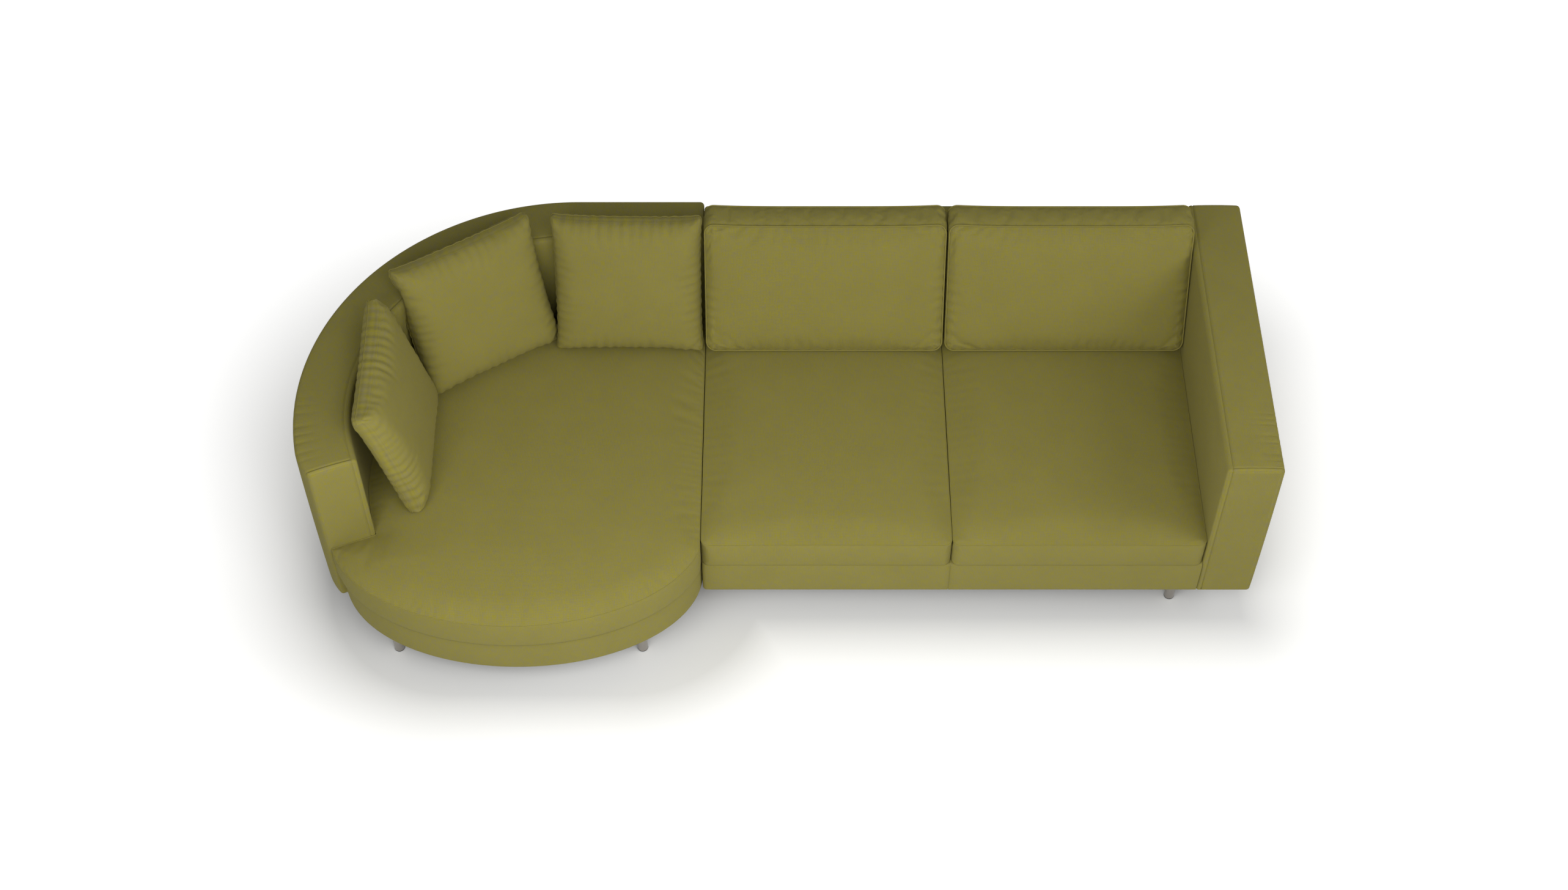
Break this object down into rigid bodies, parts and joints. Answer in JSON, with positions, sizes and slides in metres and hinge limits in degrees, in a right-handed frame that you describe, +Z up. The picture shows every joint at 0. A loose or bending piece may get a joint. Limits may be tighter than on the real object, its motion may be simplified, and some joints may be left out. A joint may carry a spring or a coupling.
{
  "type": "sofa with chaise",
  "caption": "Fabric sofa with a straight arm, loose seat and back cushions, and a half-oval chaise whose back curves round into its own arm, on round steel legs.",
  "frame": {"origin": "on the floor, in the middle of the overall width and depth", "axes": "+Z up; the sofa faces -Y; +X towards the straight arm, along the sofa's width"},
  "size_m": [2.68, 1.2606, 0.8124],
  "materials": {
    "upholstery_fabric": "matte",
    "scatter_fabric": "matte",
    "black_cloth": "matte",
    "webbing": "matte",
    "timber": "satin",
    "plywood": "satin",
    "leg_steel": "polished",
    "zinc_plate": "satin"
  },
  "bodies": {
    "frame": {"arm_upholstery": "upholstery_fabric", "back_upholstery": "upholstery_fabric", "shell_upholstery": "upholstery_fabric", "sofa_front_border": "upholstery_fabric", "chaise_front_border": "upholstery_fabric", "arm_inner_panel": "plywood", "arm_outer_panel": "plywood", "arm_bottom_rail": "timber", "arm_top_rail": "timber", "arm_front_post": "timber", "arm_rear_post": "timber", "back_bottom_rail": "timber", "back_top_rail": "timber", "back_panel": "plywood", "shell_bottom_plate": "plywood", "shell_top_plate": "plywood", "shell_stud_1": "timber", "shell_stud_2": "timber", "shell_stud_3": "timber", "shell_stud_4": "timber", "shell_stud_joint": "timber", "sofa_front_rail": "timber", "sofa_rear_rail": "timber", "sofa_left_rail": "timber", "sofa_centre_rail": "timber", "sofa_right_rail": "timber", "leg_block_front_right": "timber", "leg_block_rear_right": "timber", "leg_block_front_left": "timber", "leg_block_rear_left": "timber", "leg_block_chaise_left": "timber", "leg_block_chaise_right": "timber", "chaise_front_rail": "plywood", "chaise_bent_rail": "plywood", "chaise_side_rail": "timber", "chaise_rear_rail": "timber", "chaise_cross_rail": "timber", "sofa_seat_webbing": "webbing", "chaise_seat_webbing": "webbing", "sofa_deck_cloth": "black_cloth", "chaise_deck_cloth": "black_cloth", "sofa_bottom_cloth": "black_cloth", "chaise_bottom_cloth": "black_cloth", "leg_front_right": "leg_steel", "leg_rear_right": "leg_steel", "leg_front_left": "leg_steel", "leg_rear_left": "leg_steel", "leg_chaise_front_left": "leg_steel", "leg_chaise_front_right": "leg_steel", "leg_chaise_rear_right": "leg_steel", "leg_chaise_rear_left": "leg_steel", "unit_connector": "zinc_plate"},
    "seat_left": {"seat_cushion_left": "upholstery_fabric"},
    "seat_right": {"seat_cushion_right": "upholstery_fabric"},
    "back_left": {"back_cushion_left": "upholstery_fabric"},
    "back_right": {"back_cushion_right": "upholstery_fabric"},
    "chaise_seat": {"chaise_seat_cushion": "upholstery_fabric"},
    "scatter_right": {"pillow_right": "scatter_fabric"},
    "scatter_middle": {"pillow_middle": "scatter_fabric"},
    "scatter_left": {"pillow_left": "scatter_fabric"}
  },
  "joints": [
    {"name": "seat_left_slide", "type": "slide", "parent": "frame", "child": "seat_left", "axis": [0, -1, 0], "range_m": [0, 0.25]},
    {"name": "seat_right_slide", "type": "slide", "parent": "frame", "child": "seat_right", "axis": [0, -1, 0], "range_m": [0, 0.25]},
    {"name": "back_left_lift", "type": "slide", "parent": "frame", "child": "back_left", "axis": [0, 0, 1], "range_m": [0, 0.25]},
    {"name": "back_right_lift", "type": "slide", "parent": "frame", "child": "back_right", "axis": [0, 0, 1], "range_m": [0, 0.25]},
    {"name": "chaise_seat_lift", "type": "slide", "parent": "frame", "child": "chaise_seat", "axis": [0, 0, 1], "range_m": [0, 0.15]},
    {"name": "scatter_right_lift", "type": "slide", "parent": "chaise_seat", "child": "scatter_right", "axis": [0, 0, 1], "range_m": [0, 0.25]},
    {"name": "scatter_middle_lift", "type": "slide", "parent": "chaise_seat", "child": "scatter_middle", "axis": [0, 0, 1], "range_m": [0, 0.25]},
    {"name": "scatter_left_lift", "type": "slide", "parent": "chaise_seat", "child": "scatter_left", "axis": [0, 0, 1], "range_m": [0, 0.25]}
  ]
}
